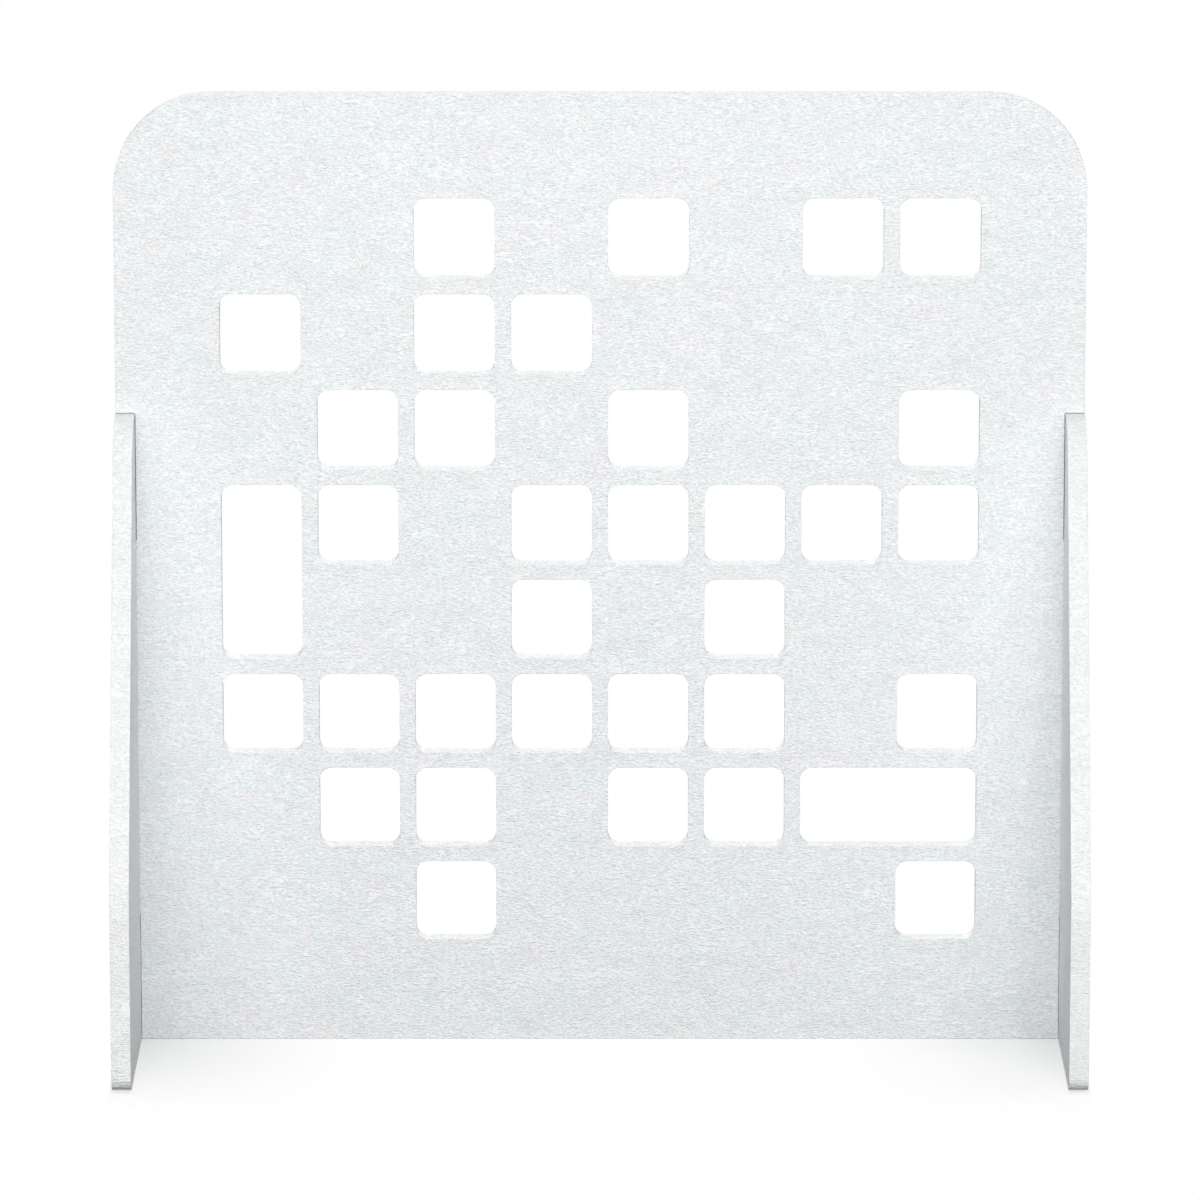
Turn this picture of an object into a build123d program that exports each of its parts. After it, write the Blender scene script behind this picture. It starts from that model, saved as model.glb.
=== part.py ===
from build123d import *
import os

# Free-standing divider screen: one flat pierced panel that carries a foot across each side.
# Every piece is cut from the same felt board. Millimetres, +Z up and -Y to the front.
# The origin is on the floor, midway between the feet and in the middle of the panel's thickness.

os.makedirs("parts", exist_ok=True)

# Board
board = 24
fit_gap = 0.3
overrun = 5

# Screen
screen_width = 1200
screen_height = 1200
screen_corner = 120

# Feet
foot_height = 800
foot_depth = 540
crown_depth = 130
knee_height = 240
toe_radius = 20
knee_radius = 140
crown_radius = 70

# Joint between the screen and each foot
tab_length = 480
shoulder_gap = 1
ledge_gap = 1.4
notch_radius = 2

# Window grid
pitch = 120
window = 100
window_corner = 15

# One letter to a cell, seen from the front: o is a window, T the upper cell of a tall window
# that takes two cells, and W the left cell of a wide window that takes two cells.
window_map = (
    "..o.o.oo",
    "o.oo....",
    ".oo.o..o",
    "To.ooooo",
    "...o.o..",
    "oooooo.o",
    ".oo.ooW.",
    "..o....o",
)

# Sizes that follow from those above
double_window = window + pitch
notch_depth = board + shoulder_gap
notch_height = foot_height + ledge_gap
tab_height = foot_height / 2
rows = len(window_map)
columns = len(window_map[0])


def cell(column, row):
    """Centre of a grid cell on the screen's face, counted from the upper left one."""
    x = (column - (columns - 1) / 2) * pitch
    z = screen_height / 2 + ((rows - 1) / 2 - row) * pitch
    return (x, z)


def cells_marked(mark):
    """Grid positions that carry one letter of the map."""
    cells = [(column, row) for row in range(rows) for column in range(columns)]
    return [(column, row) for column, row in cells if window_map[row][column] == mark]


single_windows = [cell(column, row) for column, row in cells_marked("o")]
tall_windows = [cell(column, row + 1 / 2) for column, row in cells_marked("T")]
wide_windows = [cell(column + 1 / 2, row) for column, row in cells_marked("W")]

# Panel: the pierced board. Its sides are cut back for the feet, and a tab is left on each
# side that passes through the foot and ends level with the foot's outer face.
with BuildPart() as panel:
    with BuildSketch(Plane.XZ) as face:
        with Locations((0, screen_height / 2)):
            Rectangle(screen_width, screen_height)
        fillet(face.vertices().group_by(Axis.Y)[-1], screen_corner)

        # Notch for each foot, with a small radius in its upper inner corner
        notch_width = notch_depth + overrun
        notch_span = notch_height + overrun
        with Locations(
            (-screen_width / 2 + notch_depth - notch_width / 2, notch_height - notch_span / 2),
            (screen_width / 2 - notch_depth + notch_width / 2, notch_height - notch_span / 2),
        ):
            Rectangle(notch_width, notch_span, mode=Mode.SUBTRACT)
        inner_corners = face.vertices().group_by(Axis.Y)[1].sort_by(Axis.X)[1:-1]
        fillet(inner_corners, notch_radius)

        # Tab on each side, at the middle of the foot's height
        with Locations((0, tab_height)):
            Rectangle(screen_width, tab_length)

        with Locations(single_windows):
            RectangleRounded(window, window, window_corner, mode=Mode.SUBTRACT)
        with Locations(tall_windows):
            RectangleRounded(window, double_window, window_corner, mode=Mode.SUBTRACT)
        with Locations(wide_windows):
            RectangleRounded(double_window, window, window_corner, mode=Mode.SUBTRACT)
    extrude(amount=board / 2, both=True)

# Left foot: a straight-sided base that leans in above the knee to a rounded crown.
# It is the same front and back, so it is symmetric about the panel.
with BuildPart() as left_foot:
    with BuildSketch(Plane.YZ.offset(-screen_width / 2)) as outline:
        with BuildLine():
            Polyline(
                (-foot_depth / 2, 0),
                (-foot_depth / 2, knee_height),
                (-crown_depth / 2, foot_height),
                (crown_depth / 2, foot_height),
                (foot_depth / 2, knee_height),
                (foot_depth / 2, 0),
                close=True,
            )
        make_face()
        fillet(outline.vertices().group_by(Axis.Y)[-1], crown_radius)
        fillet(outline.vertices().group_by(Axis.Y)[1], knee_radius)
        fillet(outline.vertices().group_by(Axis.Y)[0], toe_radius)

        # Slot that takes the panel's tab
        with Locations((0, tab_height)):
            Rectangle(board + 2 * fit_gap, tab_length + 2 * fit_gap, mode=Mode.SUBTRACT)
    extrude(amount=board)

# Right foot: the left one, mirrored
with BuildPart() as right_foot:
    mirror(left_foot.part, about=Plane.YZ)

panel.part.label = "panel"
export_step(panel.part, "parts/panel.step")

left_foot.part.label = "left_foot"
export_step(left_foot.part, "parts/left_foot.step")

right_foot.part.label = "right_foot"
export_step(right_foot.part, "parts/right_foot.step")
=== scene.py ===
"""Looks of a free-standing acoustic divider screen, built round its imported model.

The screen is three boards of pressed polyester felt: a flat panel pierced by a grid of windows,
and a foot that slides on to a tab at each side. Every length is in metres, in the frame of the
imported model: +Z is up, -Y is the front and the origin is on the floor in the middle of the screen.
"""

import logging
import math
from abc import ABC, abstractmethod
from dataclasses import dataclass, field
from enum import Enum
from typing import Any, Optional, Sequence, Union

import bpy
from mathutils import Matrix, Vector, geometry, kdtree, noise


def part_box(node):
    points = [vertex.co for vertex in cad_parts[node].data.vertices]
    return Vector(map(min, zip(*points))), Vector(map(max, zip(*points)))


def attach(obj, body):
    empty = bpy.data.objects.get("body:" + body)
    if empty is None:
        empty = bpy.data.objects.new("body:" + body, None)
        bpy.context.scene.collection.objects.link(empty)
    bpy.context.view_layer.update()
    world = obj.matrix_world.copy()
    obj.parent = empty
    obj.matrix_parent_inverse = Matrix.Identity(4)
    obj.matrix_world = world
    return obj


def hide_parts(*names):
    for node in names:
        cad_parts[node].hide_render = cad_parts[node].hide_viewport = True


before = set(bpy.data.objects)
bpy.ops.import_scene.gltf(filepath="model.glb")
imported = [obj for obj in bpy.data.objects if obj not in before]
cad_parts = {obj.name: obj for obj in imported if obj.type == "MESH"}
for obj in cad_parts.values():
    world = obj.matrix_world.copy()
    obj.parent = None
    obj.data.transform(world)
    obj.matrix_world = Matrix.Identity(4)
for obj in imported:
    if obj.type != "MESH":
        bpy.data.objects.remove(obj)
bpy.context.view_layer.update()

log = logging.getLogger("divider_screen")

MILLIMETRE = 0.001
NOISE_MIDDLE = 0.5
WHOLE_HULL = 0

Number = Union[int, float]
Colour = tuple[float, float, float]
Point = tuple[float, float]
Place = tuple[float, float, float]
Triangle = tuple[int, int, int]


class Surface(Enum):
    """The two kinds of surface on a board of felt, in the order of their material slots."""

    SKIN = 0
    CUT = 1


class Side(Enum):
    """The side of the screen that a foot stands on."""

    LEFT = "left"
    RIGHT = "right"


class Blend(Enum):
    """How two values combine, by the name that Math, Vector Math and Mix nodes have for it."""

    MIX = "MIX"
    ADD = "ADD"
    SUBTRACT = "SUBTRACT"
    MULTIPLY = "MULTIPLY"


class Reading(Enum):
    """What is read from cloudy noise: one number, or a colour of three that differ."""

    NUMBER = "Fac"
    COLOUR = "Color"


class Slope(Enum):
    """How something comes in, from none to all of it."""

    EVEN = "LINEAR"
    SOFT = "SMOOTHSTEP"


class Flow:
    """A number, vector or colour on its way through a material, combined by Python's own signs."""

    def __init__(self, recipe: "Recipe", socket: bpy.types.NodeSocket) -> None:
        """Wraps one output socket.

        Args:
            recipe: The material's node maker.
            socket: The output that the value comes from.
        """
        self.recipe = recipe
        self.socket = socket

    @property
    def kind(self) -> str:
        """The kind of value: VALUE, VECTOR or RGBA."""
        return self.socket.type

    def _joined(self, blend: Blend, other: "Operand", swapped: bool = False) -> "Flow":
        """Combines this value with another.

        Args:
            blend: How they combine.
            other: The second value, a number, a triple or another flow.
            swapped: Whether the other value stands first.

        Returns:
            The result, as a new flow.
        """
        first, second = (other, self) if swapped else (self, other)
        kinds = {value.kind for value in (first, second) if isinstance(value, Flow)}
        if "RGBA" in kinds and "VECTOR" not in kinds:
            return self.recipe.mix(first, second, blend=blend)
        maths = "ShaderNodeVectorMath" if "VECTOR" in kinds else "ShaderNodeMath"
        return self.recipe.node(maths, {"operation": blend.value}, {0: first, 1: second})

    def __add__(self, other: "Operand") -> "Flow":
        """This value plus another."""
        return self._joined(Blend.ADD, other)

    def __radd__(self, other: "Operand") -> "Flow":
        """Another value plus this one."""
        return self._joined(Blend.ADD, other, swapped=True)

    def __sub__(self, other: "Operand") -> "Flow":
        """This value less another."""
        return self._joined(Blend.SUBTRACT, other)

    def __rsub__(self, other: "Operand") -> "Flow":
        """Another value less this one."""
        return self._joined(Blend.SUBTRACT, other, swapped=True)

    def __mul__(self, other: "Operand") -> "Flow":
        """This value times another."""
        return self._joined(Blend.MULTIPLY, other)

    def __rmul__(self, other: "Operand") -> "Flow":
        """Another value times this one."""
        return self._joined(Blend.MULTIPLY, other, swapped=True)


Operand = Union[Flow, Number, Sequence[Number]]


class Recipe:
    """Makes the nodes of one material or of the world."""

    def __init__(self, tree: bpy.types.NodeTree) -> None:
        """Empties a node tree to build in it.

        Args:
            tree: The node tree of a material or of the world.
        """
        self.tree = tree
        tree.nodes.clear()

    def node(
        self, kind: str, settings: dict[str, Any], values: dict[Any, Any], output: Any = 0
    ) -> Flow:
        """Adds one node and hands on one of its outputs.

        Args:
            kind: The node's type.
            settings: Its own settings, such as an operation.
            values: A value or a flow for each socket, by name, identifier or place.
            output: The output to hand on, by name, identifier or place.

        Returns:
            The flow out of the node.
        """
        made = self._add(kind, settings, values)
        return Flow(self, self._socket(made.outputs, output))

    def close(self, kind: str, shader: Flow) -> None:
        """Ends the tree with an output node of this kind, fed by the finished shader."""
        self._add(kind, {}, {"Surface": shader})

    def _add(self, kind: str, settings: dict[str, Any], values: dict[Any, Any]) -> bpy.types.Node:
        """Adds one node, sets it up and feeds its sockets.

        Args:
            kind: The node's type.
            settings: Its own settings, which are set first.
            values: A value or a flow for each socket, by name, identifier or place.

        Returns:
            The node.
        """
        made = self.tree.nodes.new(kind)
        for name, setting in settings.items():
            setattr(made, name, setting)
        for key, value in values.items():
            self._feed(self._socket(made.inputs, key), value)
        return made

    def _socket(self, sockets: bpy.types.bpy_prop_collection, key: Any) -> bpy.types.NodeSocket:
        """Finds a socket.

        Args:
            sockets: The inputs or the outputs of a node.
            key: The socket's identifier, name or place.

        Returns:
            The socket.
        """
        if isinstance(key, int):
            return sockets[key]
        for socket in sockets:
            if socket.identifier == key:
                return socket
        return sockets[key]

    def _feed(self, socket: bpy.types.NodeSocket, value: Any) -> None:
        """Links a flow to a socket, or sets the socket to a constant.

        Args:
            socket: The input to feed.
            value: A flow, a number or a triple.
        """
        if isinstance(value, Flow):
            self.tree.links.new(value.socket, socket)
        elif socket.type == "RGBA":
            socket.default_value = (*self._triple(value), 1.0)
        elif socket.type == "VECTOR":
            socket.default_value = self._triple(value)
        else:
            socket.default_value = value

    def _triple(self, value: Union[Number, Sequence[Number]]) -> tuple[Number, ...]:
        """A number three times over, or a triple as it is."""
        return (value,) * 3 if isinstance(value, (int, float)) else tuple(value)

    def place(self) -> Flow:
        """The point on the object, in its own metres, which moves with it."""
        return self.node("ShaderNodeTexCoord", {}, {}, "Object")

    def mix(
        self, first: Operand, second: Operand, share: Operand = 1.0, blend: Blend = Blend.MIX
    ) -> Flow:
        """Combines two colours.

        Args:
            first: The one below.
            second: The one above.
            share: How far the one above comes in, from 0 to 1.
            blend: How they combine.

        Returns:
            The colour.
        """
        values = {"Factor_Float": share, "A_Color": first, "B_Color": second}
        settings = {"data_type": "RGBA", "blend_type": blend.value}
        return self.node("ShaderNodeMix", settings, values, "Result_Color")

    def largest(self, *flows: Flow) -> Flow:
        """Takes the largest of some values.

        Args:
            flows: The values.

        Returns:
            The largest one.
        """
        most, *others = flows
        for other in others:
            most = self.node("ShaderNodeMath", {"operation": "MAXIMUM"}, {0: most, 1: other})
        return most

    def grain(
        self,
        at: Flow,
        scale: Number,
        layers: int = 1,
        layer_share: float = 0.5,
        reading: Reading = Reading.NUMBER,
    ) -> Flow:
        """Cloudy noise.

        Args:
            at: The point to read it at.
            scale: How many lumps go to a unit.
            layers: How many finer layers it has.
            layer_share: How strong the finer layers are.
            reading: What is read from it.

        Returns:
            The noise, from 0 to 1.
        """
        values = {"Vector": at, "Scale": scale, "Detail": layers, "Roughness": layer_share}
        return self.node("ShaderNodeTexNoise", {"noise_dimensions": "3D"}, values, reading.value)

    def lit_by_camera(self) -> Flow:
        """1 for what the camera sees, also in gloss or through glass, and 0 for other light."""
        rays = ("Is Camera Ray", "Is Glossy Ray", "Is Transmission Ray")
        return self.largest(*(self.node("ShaderNodeLightPath", {}, {}, ray) for ray in rays))


@dataclass(frozen=True)
class PressedFelt:
    """Needled polyester felt, pressed into board: pale, dry and full of short level wrinkles.

    Attributes:
        name: The material's name.
        warm_tint: The fibres' colour in the warmer patches.
        cool_tint: Their colour in the cooler ones.
        tint_size: How large the patches are.
        tint_layers: How many finer layers they have.
        tint_layer_share: How strong those layers are.
        tint_spread: The noise that counts as fully warm, and as fully cool.
        wrinkle_length: The length of the short wrinkles.
        wrinkle_height: How closely they lie above each other.
        crease_length: The length of the long creases.
        crease_height: How closely they lie above each other.
        crease_share: How strong the creases are beside the wrinkles.
        sway: How far both wander from a level line.
        sway_length: How far apart their bends are.
        drift: How far they lean over as a group.
        drift_length: How large such a group is.
        painted_wrinkle_shade: The painted shade of the wrinkles: how much lighter a ridge is than a
            dip.
        cloud_size: How large the broad light and dark clouds are.
        cloud_layers: How many finer layers they have.
        cloud_contrast: How much lighter a light cloud is than a dark one.
        lightest: The most, as a factor, that painted light on a ridge or a cloud lightens the
            fibres.
        relief: How high the wrinkles stand.
        roughness: How dull the surface is.
        sheen: How much the loose fibres glow at a flat angle.
        sheen_roughness: How widely that glow spreads.
        gloss: How much it reflects.
    """

    name: str
    warm_tint: Colour = (0.883, 0.878, 0.894)
    cool_tint: Colour = (0.843, 0.895, 0.901)
    tint_size: float = 22.0 * MILLIMETRE
    tint_layers: int = 2
    tint_layer_share: float = 0.6
    tint_spread: tuple[float, float] = (0.3, 0.7)
    wrinkle_length: float = 4.0 * MILLIMETRE
    wrinkle_height: float = 1.65 * MILLIMETRE
    crease_length: float = 13.6 * MILLIMETRE
    crease_height: float = 1.36 * MILLIMETRE
    crease_share: float = 0.465
    sway: float = 0.7 * MILLIMETRE
    sway_length: float = 4.65 * MILLIMETRE
    drift: float = 8.0 * MILLIMETRE
    drift_length: float = 45.0 * MILLIMETRE
    painted_wrinkle_shade: float = 0.59
    cloud_size: float = 70.0 * MILLIMETRE
    cloud_layers: int = 2
    cloud_contrast: float = 0.05
    lightest: float = 1.12
    relief: float = 1.5 * MILLIMETRE
    roughness: float = 0.95
    sheen: float = 0.1
    sheen_roughness: float = 0.6
    gloss: float = 0.15

    def material(self) -> bpy.types.Material:
        """Builds the finish as a material.

        Returns:
            The material.
        """
        made = bpy.data.materials.new(self.name)
        made.use_nodes = True
        recipe = Recipe(made.node_tree)
        height = self._height(recipe)
        clouds = recipe.grain(recipe.place(), 1 / self.cloud_size, self.cloud_layers)
        # Painted shade: wrinkle ridges are coloured lighter and dips darker; the clouds are the
        # felt's own tone.
        painted_shade_and_clouds = 1 + self.painted_wrinkle_shade * height + self.cloud_contrast * (clouds - NOISE_MIDDLE)
        capped = recipe.node(
            "ShaderNodeMath", {"operation": "MINIMUM"}, {0: painted_shade_and_clouds, 1: self.lightest}
        )
        bump = recipe.node(
            "ShaderNodeBump", {}, {"Strength": 1.0, "Distance": self.relief, "Height": height}
        )
        skin = recipe.node(
            "ShaderNodeBsdfPrincipled",
            {},
            {
                "Base Color": self._tint(recipe) * capped,
                "Roughness": self.roughness,
                "Specular IOR Level": self.gloss,
                "Sheen Weight": self.sheen,
                "Sheen Roughness": self.sheen_roughness,
                "Normal": bump,
            },
        )
        recipe.close("ShaderNodeOutputMaterial", skin)
        return made

    def _tint(self, recipe: Recipe) -> Flow:
        """The colour of the fibres, which is a little warmer or cooler from place to place.

        Args:
            recipe: The material's node maker.

        Returns:
            The colour.
        """
        patches = recipe.grain(
            recipe.place(), 1 / self.tint_size, self.tint_layers, self.tint_layer_share
        )
        warmest, coolest = self.tint_spread
        spread = recipe.node(
            "ShaderNodeMapRange",
            {"clamp": True},
            {"Value": patches, "From Min": warmest, "From Max": coolest},
            "Result",
        )
        return recipe.mix(self.warm_tint, self.cool_tint, spread)

    def _height(self, recipe: Recipe) -> Flow:
        """Short level wrinkles and long thin creases, which sway up and down and drift aslant.

        Args:
            recipe: The material's node maker.

        Returns:
            Their height, about zero, which sets both the bump and the painted wrinkle shade.
        """
        at = recipe.place()
        swaying = recipe.grain(at, 1 / self.sway_length, reading=Reading.COLOUR) - NOISE_MIDDLE
        drifting = recipe.grain(at, 1 / self.drift_length, reading=Reading.COLOUR) - NOISE_MIDDLE
        swayed = at + swaying * (2 * self.sway) + drifting * (2 * self.drift)
        wrinkle = (1 / self.wrinkle_length, 1 / self.wrinkle_length, 1 / self.wrinkle_height)
        crease = (1 / self.crease_length, 1 / self.crease_length, 1 / self.crease_height)
        wrinkles = recipe.grain(swayed * wrinkle, 1) - NOISE_MIDDLE
        creases = recipe.grain(swayed * crease, 1) - NOISE_MIDDLE
        return wrinkles + self.crease_share * creases


@dataclass(frozen=True)
class Corner:
    """A corner of a knife line.

    Attributes:
        u: Its place across the board's face.
        v: Its place up the board's face.
        radius: The radius that rounds it, or 0 where it is sharp.
    """

    u: float
    v: float
    radius: float = 0.0


@dataclass(frozen=True)
class Cut:
    """One closed knife line through a board, walked with the felt on its left.

    Attributes:
        corners: Its corners, in order.
        step: The distance between points on its straights.
        arc_step: The turn between points on its arcs.
        fewest_arc_steps: How many parts even a short arc has.
    """

    corners: tuple[Corner, ...]
    step: float = 6.0 * MILLIMETRE
    arc_step: float = math.radians(6.0)
    fewest_arc_steps: int = 2

    def points(self) -> list[Point]:
        """Walks the line in short steps.

        Returns:
            The points in order, without a repeat of the first.
        """
        bends = [self._bend(place) for place in range(len(self.corners))]
        walked: list[Point] = []
        for bend, following in zip(bends, bends[1:] + bends[:1]):
            walked.extend(bend)
            walked.extend(self._straight(bend[-1], following[0]))
        return walked

    def _bend(self, place: int) -> list[Point]:
        """The points round one corner.

        Args:
            place: The corner's place in the outline.

        Returns:
            The points of its arc, or the corner itself where it is sharp.
        """
        corner = self.corners[place]
        if corner.radius == 0:
            return [(corner.u, corner.v)]
        before = self.corners[place - 1]
        after = self.corners[(place + 1) % len(self.corners)]
        tip = Vector((corner.u, corner.v))
        inward = (tip - Vector((before.u, before.v))).normalized()
        outward = (Vector((after.u, after.v)) - tip).normalized()
        turn = -inward.angle_signed(outward)
        reach = corner.radius * math.tan(abs(turn) / 2)
        start = tip - inward * reach
        side = Vector((-inward.y, inward.x)) * math.copysign(1, turn)
        centre = start + side * corner.radius
        spoke = start - centre
        count = max(self.fewest_arc_steps, math.ceil(abs(turn) / self.arc_step))
        arc = []
        for tick in range(count + 1):
            cosine, sine = math.cos(turn * tick / count), math.sin(turn * tick / count)
            u = centre.x + spoke.x * cosine - spoke.y * sine
            v = centre.y + spoke.x * sine + spoke.y * cosine
            arc.append((u, v))
        return arc

    def _straight(self, start: Point, end: Point) -> list[Point]:
        """The points between two corners.

        Args:
            start: The end of one corner's arc.
            end: The start of the next one's.

        Returns:
            The points strictly between them.
        """
        count = max(1, round(math.dist(start, end) / self.step))
        across, up = end[0] - start[0], end[1] - start[1]
        return [
            (start[0] + across * tick / count, start[1] + up * tick / count)
            for tick in range(1, count)
        ]


def offsets(points: Sequence[Point]) -> list[Vector]:
    """The way out of the felt at each point of a knife line.

    Args:
        points: The points of the line, with the felt on its left.

    Returns:
        A vector for each point that moves the whole line out by one unit.
    """
    sides = []
    for start, end in zip(points, list(points[1:]) + [points[0]]):
        along = Vector((end[0] - start[0], end[1] - start[1])).normalized()
        sides.append(Vector((along.y, -along.x)))
    pairs = zip([sides[-1]] + sides[:-1], sides)
    return [(before + after) / (1 + before.dot(after)) for before, after in pairs]


def encloses(line: Sequence[Point], point: Point) -> bool:
    """Tells whether a point lies within a closed line.

    Args:
        line: The points of the line.
        point: The point.

    Returns:
        True if it lies within.
    """
    u, v = point
    within = False
    for (start_u, start_v), (end_u, end_v) in zip(line, [line[-1], *line[:-1]]):
        if (start_v > v) == (end_v > v):
            continue
        if u < start_u + (v - start_v) * (end_u - start_u) / (end_v - start_v):
            within = not within
    return within


def put_in_scene(name: str, data: bpy.types.ID) -> bpy.types.Object:
    """Makes an object and puts it in the scene.

    Args:
        name: The object's name.
        data: Its mesh, lamp or camera.

    Returns:
        The object.
    """
    made = bpy.data.objects.new(name, data)
    bpy.context.scene.collection.objects.link(made)
    return made


@dataclass
class Shell:
    """A closed mesh in the making.

    Attributes:
        points: Its points.
        faces: Its faces, by the places of their points.
        surfaces: The kind of surface of each face.
    """

    points: list[Vector] = field(default_factory=list)
    faces: list[tuple[int, ...]] = field(default_factory=list)
    surfaces: list[Surface] = field(default_factory=list)

    def add_face(self, corners: tuple[int, ...], surface: Surface) -> None:
        """Adds a face.

        Args:
            corners: The places of its points.
            surface: Its kind of surface.
        """
        self.faces.append(corners)
        self.surfaces.append(surface)

    def mesh(self, name: str, sharp_from: float) -> bpy.types.Mesh:
        """Turns the shell into a mesh.

        Args:
            name: The mesh's name.
            sharp_from: The angle from which an edge counts as sharp.

        Returns:
            The mesh, smooth but for its sharp edges.
        """
        made = bpy.data.meshes.new(name)
        made.from_pydata(self.points, [], self.faces)
        for polygon, surface in zip(made.polygons, self.surfaces):
            polygon.material_index = surface.value
            polygon.use_smooth = True
        made.set_sharp_from_angle(angle=sharp_from)
        made.update()
        return made


@dataclass
class FeltBoard(ABC):
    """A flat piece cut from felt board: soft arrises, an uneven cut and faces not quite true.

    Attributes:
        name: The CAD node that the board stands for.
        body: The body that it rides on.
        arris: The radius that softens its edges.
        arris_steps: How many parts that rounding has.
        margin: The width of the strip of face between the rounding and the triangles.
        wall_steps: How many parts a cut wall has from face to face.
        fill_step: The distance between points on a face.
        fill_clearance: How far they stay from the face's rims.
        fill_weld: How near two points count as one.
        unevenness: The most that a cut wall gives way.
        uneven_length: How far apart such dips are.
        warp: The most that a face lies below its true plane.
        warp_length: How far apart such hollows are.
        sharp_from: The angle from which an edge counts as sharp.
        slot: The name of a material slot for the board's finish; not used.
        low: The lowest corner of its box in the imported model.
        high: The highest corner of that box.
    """

    name: str
    body: str
    arris: float = 0.6 * MILLIMETRE
    arris_steps: int = 4
    margin: float = 1.6 * MILLIMETRE
    wall_steps: int = 6
    fill_step: float = 14.0 * MILLIMETRE
    fill_clearance: float = 7.0 * MILLIMETRE
    fill_weld: float = 0.0001 * MILLIMETRE
    unevenness: float = 0.32 * MILLIMETRE
    uneven_length: float = 6.0 * MILLIMETRE
    warp: float = 0.3 * MILLIMETRE
    warp_length: float = 60.0 * MILLIMETRE
    sharp_from: float = math.radians(50.0)
    slot: str = "felt_panel"
    low: Vector = field(init=False)
    high: Vector = field(init=False)

    def __post_init__(self) -> None:
        """Takes the board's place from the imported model."""
        self.low, self.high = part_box(self.name)

    @property
    def thickness(self) -> float:
        """The board's thickness."""
        return min(self.high - self.low)

    @abstractmethod
    def cuts(self) -> list[Cut]:
        """The knife lines: the outline first, then each hole."""

    @abstractmethod
    def point(self, u: float, v: float, depth: float) -> Vector:
        """A point of the board.

        Args:
            u: Its place across the board's face.
            v: Its place up the board's face.
            depth: Its depth below the first face.

        Returns:
            The point in the model's frame.
        """

    def profile(self) -> list[tuple[float, float, Surface]]:
        """The section of a cut edge, from the first face to the second.

        Returns:
            For each line of points, its distance in from the knife line, its depth and the
            surface that follows it.
        """
        quarter = [math.pi / 2 * tick / self.arris_steps for tick in range(self.arris_steps + 1)]
        front = [
            (self.arris * (1 - math.sin(angle)), self.arris * (1 - math.cos(angle)))
            for angle in quarter
        ]
        wall_depth = self.thickness - 2 * self.arris
        wall = [
            (0.0, self.arris + wall_depth * tick / self.wall_steps)
            for tick in range(1, self.wall_steps)
        ]
        *back, end = [(inset, self.thickness - depth) for inset, depth in reversed(front)]
        cut = [(inset, depth, Surface.CUT) for inset, depth in front + wall + back]
        rim = self.arris + self.margin
        skin = Surface.SKIN
        return [(rim, 0.0, skin), *cut, (*end, skin), (rim, self.thickness, skin)]

    def build(self, finishes: dict[Surface, bpy.types.Material]) -> bpy.types.Object:
        """Makes the board and puts it in place of its CAD node.

        Args:
            finishes: The material of each kind of surface.

        Returns:
            The finished object, riding on its body.
        """
        shell = Shell()
        rims: list[list[Point]] = []
        front_ids: list[int] = []
        back_ids: list[int] = []
        for cut in self.cuts():
            line = cut.points()
            first = len(shell.points)
            rims.append(self._add_edge(shell, line))
            end = len(shell.points)
            front_ids.extend(range(first, first + len(line)))
            back_ids.extend(range(end - len(line), end))
        inner, triangles = self._fill(rims)
        turned = [triangle[::-1] for triangle in triangles]
        self._add_side(shell, 0.0, front_ids, inner, triangles)
        self._add_side(shell, self.thickness, back_ids, inner, turned)
        mesh = shell.mesh(f"{self.name}_felt", self.sharp_from)
        for surface in Surface:
            mesh.materials.append(finishes[surface])
        made = put_in_scene(mesh.name, mesh)
        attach(made, self.body)
        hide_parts(self.name)
        return made

    def _add_edge(self, shell: Shell, line: list[Point]) -> list[Point]:
        """Adds the cut edge along one knife line, with a strip of each face beside it.

        Args:
            shell: The board's shell so far.
            line: The points of the knife line.

        Returns:
            The points at the far side of those strips, where the rest of the face starts.
        """
        profile = self.profile()
        ends = (0, len(profile) - 1)
        first, count = len(shell.points), len(line)
        outward = offsets(line)
        rows = [
            [(u - out.x * inset, v - out.y * inset) for (u, v), out in zip(line, outward)]
            for inset, _, _ in profile
        ]
        for place, (row, (_, depth, _)) in enumerate(zip(rows, profile)):
            for (u, v), out in zip(row, outward):
                shell.points.append(self._worn(u, v, depth, None if place in ends else out))
        for row, (_, _, surface) in enumerate(profile[:-1]):
            for place in range(count):
                here = first + row * count + place
                beside = first + row * count + (place + 1) % count
                shell.add_face((here, here + count, beside + count, beside), surface)
        return rows[0]

    def _add_side(
        self,
        shell: Shell,
        depth: float,
        rim_ids: list[int],
        inner: list[Point],
        triangles: Sequence[Triangle],
    ) -> None:
        """Adds the inside of one of the board's two faces.

        Args:
            shell: The board's shell so far.
            depth: The face's depth.
            rim_ids: The places of its rims' points in the shell.
            inner: The points inside it.
            triangles: Its triangles, which count the rims' points first.
        """
        first = len(shell.points)
        ids = rim_ids + list(range(first, first + len(inner)))
        shell.points.extend(self._worn(u, v, depth, None) for u, v in inner)
        for triangle in triangles:
            shell.add_face(tuple(ids[corner] for corner in triangle), Surface.SKIN)

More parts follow.
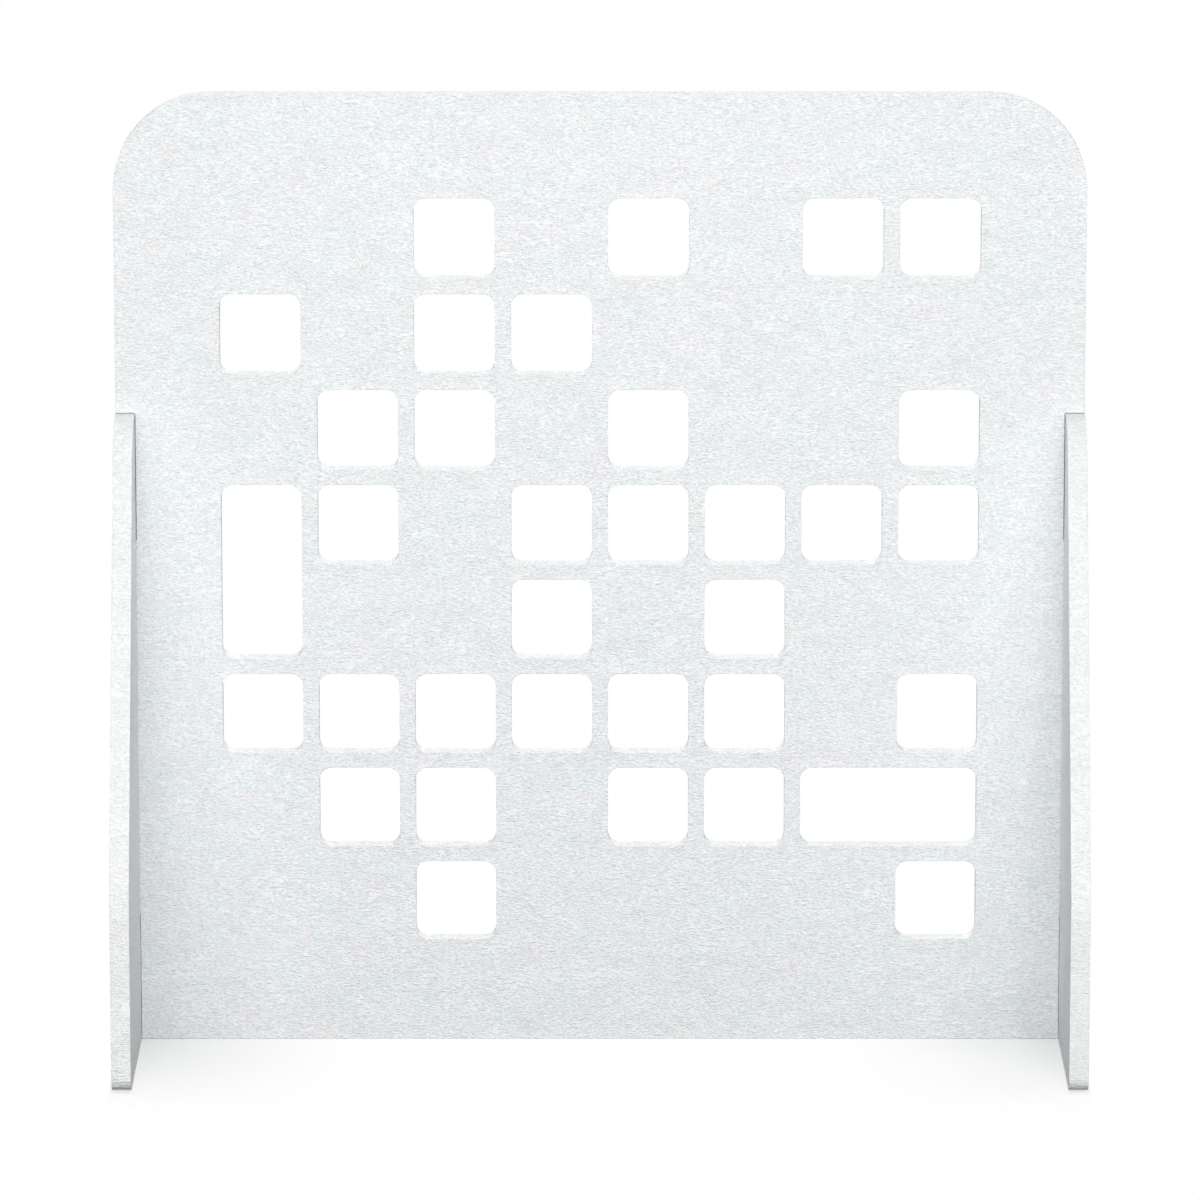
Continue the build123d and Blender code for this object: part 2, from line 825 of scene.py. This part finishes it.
    def _worn(self, u: float, v: float, depth: float, out: Optional[Vector]) -> Vector:
        """Moves a point a hair's breadth inwards, as felt gives under the knife and the press.

        Args:
            u: The point's place across the face.
            v: The point's place up the face.
            depth: The point's depth.
            out: The way out of the felt on a cut edge, or None on a face.

        Returns:
            The moved point in the model's frame.
        """
        at = self.point(u, v, depth)
        if out is None:
            dip = self.warp * self._swell(at / self.warp_length)
            towards_middle = 1 if depth < self.thickness / 2 else -1
            return self.point(u, v, depth + towards_middle * dip)
        give = self.unevenness * self._swell(at / self.uneven_length)
        return self.point(u - out.x * give, v - out.y * give, depth)

    def _swell(self, at: Vector) -> float:
        """A slow, even noise from 0 to 1, with one lump to a unit."""
        return 0.5 + 0.5 * noise.noise(at)

    def _fill(self, rims: list[list[Point]]) -> tuple[list[Point], list[Triangle]]:
        """Covers the board's face with even triangles.

        Args:
            rims: The points round the face, then round each hole in it.

        Returns:
            The new points inside the face, and the triangles, which count the rims' points first.
        """
        grid = self._grid(rims)
        flat = [Vector(point) for point in [*(point for rim in rims for point in rim), *grid]]
        ahead: set[tuple[int, int]] = set()
        for rim in rims:
            first = len(ahead)
            count = len(rim)
            ahead.update((first + place, first + (place + 1) % count) for place in range(count))
        places, _, found, origins, _, _ = geometry.delaunay_2d_cdt(
            flat, sorted(ahead), [], WHOLE_HULL, self.fill_weld, True
        )
        if len(places) != len(flat):
            raise ValueError(f"{self.name}: the knife lines cross")
        triangles = [tuple(origins[corner][0] for corner in triangle) for triangle in found]
        beside = {side: triangle for triangle in triangles for side in self._sides(triangle)}
        felt = set()
        reached = [beside[side] for side in ahead]
        while reached:
            triangle = reached.pop()
            if triangle not in felt:
                felt.add(triangle)
                for start, end in self._sides(triangle):
                    if (start, end) not in ahead:
                        reached.append(beside[end, start])
        return grid, [triangle for triangle in triangles if triangle in felt]

    def _sides(self, triangle: tuple[int, ...]) -> list[tuple[int, int]]:
        """The sides of a triangle, each from its first point to its second."""
        return list(zip(triangle, triangle[1:] + triangle[:1]))

    def _grid(self, rims: list[list[Point]]) -> list[Point]:
        """Spreads points evenly over the felt, clear of its rims.

        Args:
            rims: The points round the face, then round each hole in it.

        Returns:
            The points.
        """
        around = [point for rim in rims for point in rim]
        near = kdtree.KDTree(len(around))
        for place, (u, v) in enumerate(around):
            near.insert((u, v, 0.0), place)
        near.balance()
        low_u, high_u = min(u for u, _ in around), max(u for u, _ in around)
        low_v, high_v = min(v for _, v in around), max(v for _, v in around)
        grid = []
        for row in range(1, math.ceil((high_v - low_v) / self.fill_step)):
            v = low_v + row * self.fill_step
            stagger = 0.5 * (row % 2)
            for column in range(1, math.ceil((high_u - low_u) / self.fill_step)):
                u = low_u + (column + stagger) * self.fill_step
                if near.find((u, v, 0.0))[2] < self.fill_clearance:
                    continue
                if encloses(rims[0], (u, v)) and not any(encloses(rim, (u, v)) for rim in rims[1:]):
                    grid.append((u, v))
        return grid


@dataclass
class Panel(FeltBoard):
    """The pierced board, cut back at both sides for the feet, with a tab through each foot.

    Attributes:
        corner: The radius of its upper corners.
        notch_depth: How far each side is cut back above the tab.
        notch_top: The height of the ledge over the foot's crown.
        notch_corner: The radius where that ledge starts.
        low_notch_depth: How far each side is cut back below the tab.
        tab_low: The height of the tabs' lower ends.
        tab_high: The height of their upper ends.
        pitch: The distance between the middles of two windows.
        window: The side of a window.
        window_corner: The radius of its corners.
        window_map: A letter for each cell, seen from the front: o is a window, T the upper cell
            of a tall one that takes two cells, and W the left cell of a wide one.
    """

    corner: float = 120.0 * MILLIMETRE
    notch_depth: float = 24.5 * MILLIMETRE
    notch_top: float = 801.0 * MILLIMETRE
    notch_corner: float = 2.0 * MILLIMETRE
    low_notch_depth: float = 24.2 * MILLIMETRE
    tab_low: float = 160.0 * MILLIMETRE
    tab_high: float = 640.0 * MILLIMETRE
    pitch: float = 120.0 * MILLIMETRE
    window: float = 100.0 * MILLIMETRE
    window_corner: float = 15.0 * MILLIMETRE
    window_map: tuple[str, ...] = (
        "..o.o.oo",
        "o.oo....",
        ".oo.o..o",
        "To.ooooo",
        "...o.o..",
        "oooooo.o",
        ".oo.ooW.",
        "..o....o",
    )

    def cuts(self) -> list[Cut]:
        """The panel's outline, then its windows."""
        return [self._outline(), *self._windows()]

    def point(self, u: float, v: float, depth: float) -> Vector:
        """A point of the panel, whose first face is the front one."""
        return Vector((u, self.low.y + depth, v))

    def _outline(self) -> Cut:
        """The panel's outline, up its right side and down its left one.

        Returns:
            Its knife line.
        """
        half = self.high.x
        shoulder = half - self.notch_depth
        hip = half - self.low_notch_depth
        right_side = [
            Corner(hip, self.low.z),
            Corner(hip, self.tab_low),
            Corner(half, self.tab_low),
            Corner(half, self.tab_high),
            Corner(shoulder, self.tab_high),
            Corner(shoulder, self.notch_top, self.notch_corner),
            Corner(half, self.notch_top),
            Corner(half, self.high.z, self.corner),
        ]
        left_side = [Corner(-corner.u, corner.v, corner.radius) for corner in reversed(right_side)]
        return Cut(tuple(right_side + left_side))

    def _windows(self) -> list[Cut]:
        """The panel's windows.

        Returns:
            Their knife lines, row by row from the top.
        """
        rows, columns = len(self.window_map), len(self.window_map[0])
        middle = (self.low.z + self.high.z) / 2
        lines = []
        for row, marks in enumerate(self.window_map):
            for column, mark in enumerate(marks):
                if mark == ".":
                    continue
                left = (column - (columns - 1) / 2) * self.pitch - self.window / 2
                top = middle + ((rows - 1) / 2 - row) * self.pitch + self.window / 2
                wide = self.window + self.pitch * (mark == "W")
                tall = self.window + self.pitch * (mark == "T")
                lines.append(self._window(left, top - tall, left + wide, top))
        return lines

    def _window(self, left: float, low: float, right: float, high: float) -> Cut:
        """One window.

        Args:
            left: Its left side.
            low: Its lower side.
            right: Its right side.
            high: Its upper side.

        Returns:
            Its knife line, with the felt on the left.
        """
        corners = [(left, low), (left, high), (right, high), (right, low)]
        return Cut(tuple(Corner(u, v, self.window_corner) for u, v in corners))


@dataclass
class Foot(FeltBoard):
    """The board under one side of the panel: upright at the toes, then in to a rounded crown.

    Attributes:
        slot: The name of a material slot for its finish; not used.
        knee_height: The height from which its sides lean in.
        crown_depth: The depth of its crown, from corner to corner.
        toe_radius: The radius at the floor.
        knee_radius: The radius where its sides start to lean.
        crown_radius: The radius of its crown's corners.
        slot_low: The height of the lower end of the slot for the tab.
        slot_high: The height of its upper end.
        slot_half_width: Half the slot's width.
        unevenness: The most that a cut wall gives way.
    """

    slot: str = "felt_feet"
    knee_height: float = 240.0 * MILLIMETRE
    crown_depth: float = 130.0 * MILLIMETRE
    toe_radius: float = 20.0 * MILLIMETRE
    knee_radius: float = 140.0 * MILLIMETRE
    crown_radius: float = 70.0 * MILLIMETRE
    slot_low: float = 159.7 * MILLIMETRE
    slot_high: float = 640.3 * MILLIMETRE
    slot_half_width: float = 12.3 * MILLIMETRE
    unevenness: float = 0.12 * MILLIMETRE

    def cuts(self) -> list[Cut]:
        """The foot's outline and the slot for the panel's tab.

        Returns:
            Their knife lines, in that order.
        """
        half = self.high.y
        front = [
            Corner(half, self.low.z, self.toe_radius),
            Corner(half, self.knee_height, self.knee_radius),
            Corner(self.crown_depth / 2, self.high.z, self.crown_radius),
        ]
        back = [Corner(-corner.u, corner.v, corner.radius) for corner in reversed(front)]
        width, low, high = self.slot_half_width, self.slot_low, self.slot_high
        hole = [(-width, low), (-width, high), (width, high), (width, low)]
        return [Cut(tuple(front + back)), Cut(tuple(Corner(u, v) for u, v in hole))]

    def point(self, u: float, v: float, depth: float) -> Vector:
        """A point of the foot, whose first face is the one towards +X."""
        return Vector((self.high.x - depth, u, v))


@dataclass
class SoftBox:
    """A large plain lamp that faces a point.

    Attributes:
        name: The lamp's name.
        place: Where it hangs.
        aim: The point that it faces.
        size: Its width and height.
        power: Its power in watts.
    """

    name: str
    place: Place
    aim: Place
    size: tuple[float, float]
    power: float

    def hang(self) -> None:
        """Makes the lamp."""
        lamp = bpy.data.lights.new(self.name, "AREA")
        lamp.shape = "RECTANGLE"
        lamp.size, lamp.size_y = self.size
        lamp.energy = self.power
        made = put_in_scene(self.name, lamp)
        made.location = self.place
        ahead = Vector(self.aim) - Vector(self.place)
        made.rotation_euler = ahead.to_track_quat("-Z", "Y").to_euler()


@dataclass(frozen=True)
class WhiteFloor:
    """A white floor, which shows the screen's shadow near it and throws little light back.

    Attributes:
        name: The material's name.
        grey: How light the floor is for the light that it throws back.
        white: How light its shaded part looks, before the shade.
        shade_share: How much of the shade shows at most.
        shade_middle: Where the shade between the feet starts, out from the middle, and is full.
        shade_depth: How far it reaches from the panel.
        shade_side: Where it is full, out from the middle, and ends at the feet.
        contact: Where the shade along the panel is full, out from its middle, and ends.
        toe_side: Where the shade at the toes starts, out from the middle, and is full.
        toe_reach: Where it is full, out from the panel's middle, and ends.
        toe_share: How strong it is beside the rest.
    """

    name: str = "floor"
    grey: float = 0.15
    white: float = 0.98
    shade_share: float = 0.78
    shade_middle: tuple[float, float] = (0.28, 0.56)
    shade_depth: float = 0.36
    shade_side: tuple[float, float] = (0.600, 0.606)
    contact: tuple[float, float] = (0.006, 0.012)
    toe_side: tuple[float, float] = (0.570, 0.577)
    toe_reach: tuple[float, float] = (0.266, 0.282)
    toe_share: float = 0.6

    def material(self) -> bpy.types.Material:
        """Builds the finish as a material.

        Returns:
            A material that bounces a little light, and looks white with a soft shadow on it.
        """
        made = bpy.data.materials.new(self.name)
        made.use_nodes = True
        recipe = Recipe(made.node_tree)
        plain = recipe.node("ShaderNodeBsdfDiffuse", {}, {"Color": self.grey})
        shaded = recipe.node("ShaderNodeBsdfDiffuse", {}, {"Color": self.white})
        white = recipe.node("ShaderNodeEmission", {}, {"Color": 1.0, "Strength": 1.0})
        mixer = "ShaderNodeMixShader"
        seen = recipe.node(mixer, {}, {0: self._shade(recipe), 1: white, 2: shaded})
        both = recipe.node(mixer, {}, {0: recipe.lit_by_camera(), 1: plain, 2: seen})
        recipe.close("ShaderNodeOutputMaterial", both)
        return made

    def _shade(self, recipe: Recipe) -> Flow:
        """Where the floor shows shade: between the feet, along the panel and at the toes.

        Args:
            recipe: The floor's node maker.

        Returns:
            How much of the shade shows, down to 0 where the floor is plain white.
        """
        aside = recipe.node("ShaderNodeVectorMath", {"operation": "ABSOLUTE"}, {0: recipe.place()})
        across, along = (
            recipe.node("ShaderNodeSeparateXYZ", {}, {"Vector": aside}, axis) for axis in "XY"
        )
        corner = self._ramp(across, *self.shade_middle)
        corner = corner * self._ramp(along, self.shade_depth, 0.0, Slope.EVEN)
        contact = self._ramp(along, *reversed(self.contact))
        toe = self._ramp(across, *self.toe_side) * self._ramp(along, *reversed(self.toe_reach))
        most = recipe.largest(corner, contact, toe * self.toe_share)
        return most * self._ramp(across, *reversed(self.shade_side)) * self.shade_share

    def _ramp(self, value: Flow, none: float, full: float, slope: Slope = Slope.SOFT) -> Flow:
        """Goes from nothing to all as a value moves between two others.

        Args:
            value: The value.
            none: Where the result is 0.
            full: Where the result is 1.
            slope: How it goes from one to the other.

        Returns:
            The result, from 0 to 1.
        """
        settings = {"interpolation_type": slope.value, "clamp": True}
        values = {"Value": value, "From Min": none, "From Max": full}
        return value.recipe.node("ShaderNodeMapRange", settings, values, "Result")


@dataclass
class Studio:
    """A white floor in large soft light, and the camera that looks down a little.

    Attributes:
        floor_size: The side of the square floor.
        floor_finish: The floor's finish.
        ambient: The strength of the light from all round.
        camera_place: Where the camera stands.
        camera_tilt: Its turn from looking straight down.
        lens: Its focal length in millimetres.
        sensor: The width of its sensor in millimetres.
        sight: How far it sees.
        lamps: The lamps.
    """

    floor_size: float = 40.0
    floor_finish: WhiteFloor = WhiteFloor()
    ambient: float = 0.32
    camera_place: Place = (0.0, -10.542, 2.8225)
    camera_tilt: float = math.radians(90 - 12.1037)
    lens: float = 259.83
    sensor: float = 36.0
    sight: float = 100.0
    lamps: tuple[SoftBox, ...] = (
        SoftBox("front_lamp", (0.0, -4.0, 2.6), (0.0, 0.0, 0.6), size=(3.2, 2.4), power=101.0),
        SoftBox("low_lamp", (0.0, -6.0, 1.0), (0.0, 0.0, 0.6), size=(3.0, 1.6), power=46.0),
        SoftBox("left_lamp", (-2.2, -4.6, 1.0), (0.0, 0.0, 0.6), size=(2.0, 1.4), power=34.5),
        SoftBox("right_lamp", (2.2, -4.6, 1.0), (0.0, 0.0, 0.6), size=(2.0, 1.4), power=34.5),
        SoftBox("left_end_lamp", (-4.3, 1.6, 1.8), (0.0, 0.0, 0.5), size=(2.4, 2.4), power=42.0),
        SoftBox("right_end_lamp", (4.3, 1.6, 1.8), (0.0, 0.0, 0.5), size=(2.4, 2.4), power=42.0),
        SoftBox("back_lamp", (0.0, 2.4, 4.0), (0.0, 0.0, 0.4), size=(3.0, 2.0), power=80.0),
        SoftBox("low_back_lamp", (0.0, 5.0, 1.6), (0.0, 0.0, 0.6), size=(3.0, 1.6), power=35.0),
    )

    def build(self) -> None:
        """Makes the floor, the world, the lamps and the camera."""
        self._floor()
        self._world()
        for lamp in self.lamps:
            lamp.hang()
        self._camera()

    def _floor(self) -> None:
        """Makes the floor."""
        half = self.floor_size / 2
        mesh = bpy.data.meshes.new("floor")
        corners = [(-half, -half, 0), (half, -half, 0), (half, half, 0), (-half, half, 0)]
        mesh.from_pydata(corners, [], [(0, 1, 2, 3)])
        mesh.materials.append(self.floor_finish.material())
        made = put_in_scene(mesh.name, mesh)

    def _world(self) -> None:
        """Makes the world: even light all round, seen as white."""
        world = bpy.data.worlds.new("studio")
        world.use_nodes = True
        bpy.context.scene.world = world
        recipe = Recipe(world.node_tree)
        strength = self.ambient + (1 - self.ambient) * recipe.lit_by_camera()
        light = recipe.node("ShaderNodeBackground", {}, {"Color": 1.0, "Strength": strength})
        recipe.close("ShaderNodeOutputWorld", light)

    def _camera(self) -> None:
        """Makes the camera."""
        lens = bpy.data.cameras.new("camera")
        lens.lens = self.lens
        lens.sensor_width = self.sensor
        lens.clip_end = self.sight
        made = put_in_scene("camera", lens)
        made.location = self.camera_place
        made.rotation_euler = (self.camera_tilt, 0.0, 0.0)
        bpy.context.scene.camera = made


@dataclass
class DividerScreen:
    """The whole screen: its panel and a foot at each side.

    Attributes:
        skin: The finish of the boards' faces.
        cut: The finish of their cut edges.
    """

    skin: PressedFelt = PressedFelt("felt_skin")
    cut: PressedFelt = PressedFelt(
        "felt_cut",
        warm_tint=(0.898, 0.900, 0.907),
        cool_tint=(0.876, 0.906, 0.911),
        # The cut edges get a weaker painted shade of the wrinkles.
        painted_wrinkle_shade=0.5,
    )

    def build(self) -> list[bpy.types.Object]:
        """Makes the finishes and every board, and hands on the boards."""
        finishes = {Surface.SKIN: self.skin.material(), Surface.CUT: self.cut.material()}
        return [board.build(finishes) for board in self.boards()]

    def boards(self) -> list[FeltBoard]:
        """The boards: the panel, then the foot at each side."""
        feet = [Foot(f"{side.value}_foot", f"{side.value}_side") for side in Side]
        return [Panel("panel", "screen"), *feet]


def main() -> None:
    """Builds the studio and the screen, and reports each piece."""
    logging.basicConfig(level=logging.INFO)
    bpy.context.scene.view_settings.view_transform = "Standard"
    Studio().build()
    for piece in DividerScreen().build():
        mesh = piece.data
        log.info("%s: %d points, %d faces", piece.name, len(mesh.vertices), len(mesh.polygons))


if __name__ == "__main__":
    main()
